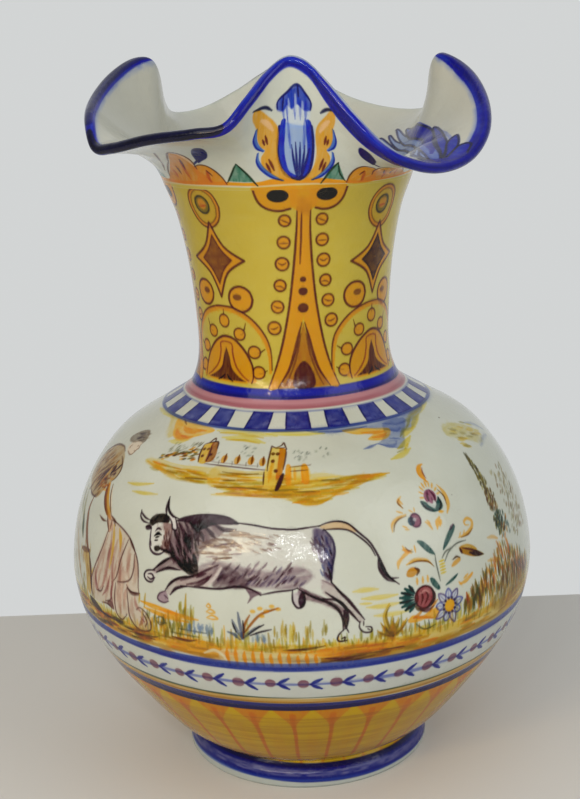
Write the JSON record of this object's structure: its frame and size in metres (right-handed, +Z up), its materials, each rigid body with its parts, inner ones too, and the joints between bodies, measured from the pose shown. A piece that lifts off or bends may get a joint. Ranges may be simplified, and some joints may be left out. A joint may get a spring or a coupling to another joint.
{
  "type": "pottery vase",
  "caption": "Round-bellied tin-glazed pottery vase on a foot ring, with a flared neck and a hand-ruffled mouth.",
  "frame": {"origin": "centre of the foot ring's bearing face", "axes": "+Z up along the pot's turning axis, -Y towards the painted front"},
  "size_m": [0.2686, 0.2686, 0.4052],
  "materials": {
    "foot_glaze": "glossy cobalt blue majolica glaze with a bare clay bearing ring",
    "bowl_glaze": "glossy majolica glaze painted with yellow and orange petals",
    "belly_glaze": "glossy off-white crackled majolica glaze painted with a country scene",
    "neck_glaze": "glossy yellow majolica glaze painted with orange and olive ornament",
    "rim_glaze": "glossy off-white majolica glaze with a cobalt blue lip",
    "inner_glaze": "glossy off-white glaze over clay"
  },
  "bodies": {
    "root": {"foot_ring": "foot_glaze", "lower_bowl": "bowl_glaze", "belly": "belly_glaze", "neck": "neck_glaze", "ruffled_rim": "rim_glaze", "belly_seam_coil": "inner_glaze", "neck_seam_coil": "inner_glaze"}
  },
  "joints": []
}
